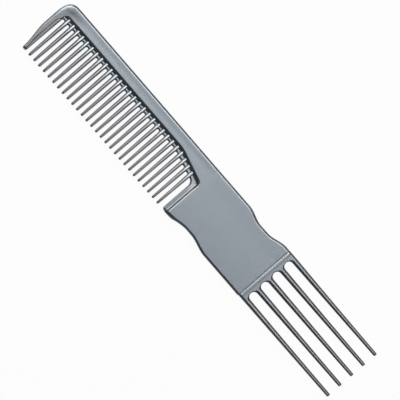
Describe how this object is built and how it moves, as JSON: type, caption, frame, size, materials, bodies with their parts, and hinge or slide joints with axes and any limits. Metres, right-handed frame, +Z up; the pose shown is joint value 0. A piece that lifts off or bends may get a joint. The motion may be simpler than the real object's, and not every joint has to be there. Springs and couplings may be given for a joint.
{
  "type": "styling comb",
  "caption": "Flat moulded styling comb with a row of fine tapered teeth, an end guard tooth, a flat grip with finger recesses and a long-pronged lifting fork.",
  "frame": {"origin": "under the middle of the comb's outline, on the surface that it lies on", "axes": "+X along the comb from the end guard tooth to the prong tips, +Y from the teeth to the back edge, +Z up through the thickness"},
  "size_m": [0.1906, 0.0282, 0.0042],
  "materials": {
    "pearl_plastic": "satin pearl grey, moulded"
  },
  "bodies": {
    "root": {"spine": "pearl_plastic", "end_guard_tooth": "pearl_plastic", "tooth_01": "pearl_plastic", "tooth_02": "pearl_plastic", "tooth_03": "pearl_plastic", "tooth_04": "pearl_plastic", "tooth_05": "pearl_plastic", "tooth_06": "pearl_plastic", "tooth_07": "pearl_plastic", "tooth_08": "pearl_plastic", "tooth_09": "pearl_plastic", "tooth_10": "pearl_plastic", "tooth_11": "pearl_plastic", "tooth_12": "pearl_plastic", "tooth_13": "pearl_plastic", "tooth_14": "pearl_plastic", "tooth_15": "pearl_plastic", "tooth_16": "pearl_plastic", "tooth_17": "pearl_plastic", "tooth_18": "pearl_plastic", "tooth_19": "pearl_plastic", "tooth_20": "pearl_plastic", "tooth_21": "pearl_plastic", "tooth_22": "pearl_plastic", "tooth_23": "pearl_plastic", "tooth_24": "pearl_plastic", "tooth_25": "pearl_plastic", "tooth_26": "pearl_plastic", "tooth_27": "pearl_plastic", "tooth_28": "pearl_plastic", "grip": "pearl_plastic", "fork_root": "pearl_plastic", "prong_1": "pearl_plastic", "prong_2": "pearl_plastic", "prong_3": "pearl_plastic", "prong_4": "pearl_plastic", "prong_5": "pearl_plastic"}
  },
  "joints": []
}
